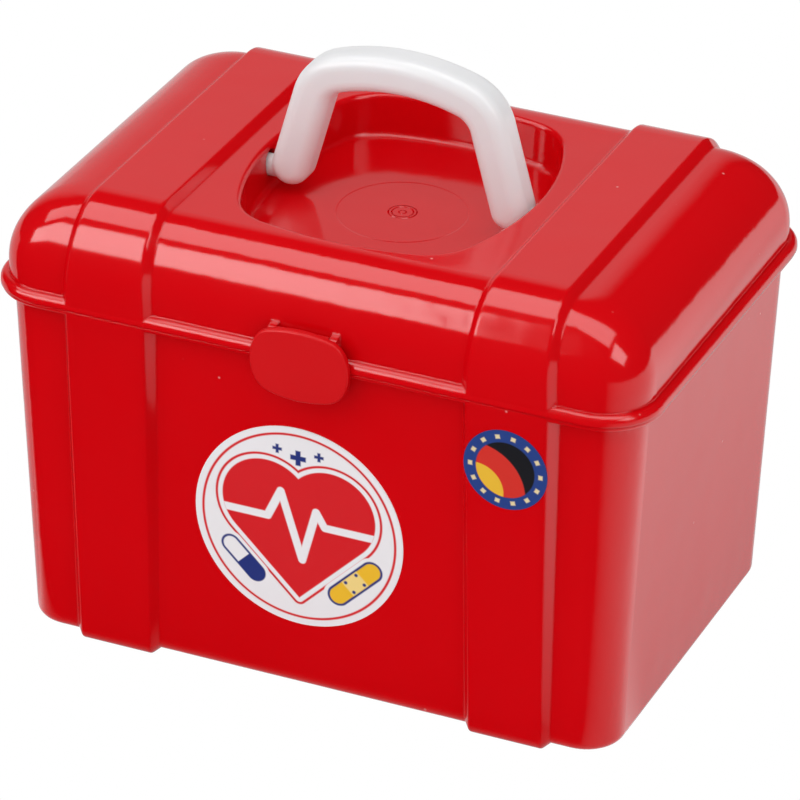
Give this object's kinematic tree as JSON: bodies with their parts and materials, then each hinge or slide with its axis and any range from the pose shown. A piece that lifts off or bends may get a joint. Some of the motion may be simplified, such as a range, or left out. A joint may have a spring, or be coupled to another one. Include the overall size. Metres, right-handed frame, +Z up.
{
  "type": "toy doctor case",
  "caption": "Hinged plastic play case with strap bands, a folding carrying handle in a lid recess and an oval front latch.",
  "frame": {"origin": "middle of the case's box, on the plane it stands on", "axes": "+X to the right end seen from the front, the latch faces -Y, +Z up"},
  "size_m": [0.25, 0.1778, 0.2182],
  "materials": {
    "case_plastic": "polished red injection-moulded plastic",
    "handle_plastic": "smooth white injection-moulded plastic",
    "latch_plastic": "satin red injection-moulded plastic",
    "front_sticker_print": "printed paper sticker, satin",
    "strap_sticker_print": "printed paper sticker, satin"
  },
  "bodies": {
    "tub": {"tub": "case_plastic", "front_sticker": "front_sticker_print", "strap_sticker": "strap_sticker_print"},
    "lid": {"lid": "case_plastic"},
    "handle": {"handle": "handle_plastic"},
    "latch": {"latch": "latch_plastic"}
  },
  "joints": [
    {"name": "lid_hinge", "type": "hinge", "parent": "tub", "child": "lid", "pos_m": [0, 0.0856, 0.136], "axis": [-1, 0, 0], "range_deg": [0, 100]},
    {"name": "handle_swing", "type": "hinge", "parent": "lid", "child": "handle", "pos_m": [0, 0, 0.1645], "axis": [1, 0, 0], "range_deg": [-90, 90]},
    {"name": "latch_pivot", "type": "hinge", "parent": "lid", "child": "latch", "pos_m": [0, -0.0839, 0.1472], "axis": [-1, 0, 0], "range_deg": [0, 35]}
  ]
}
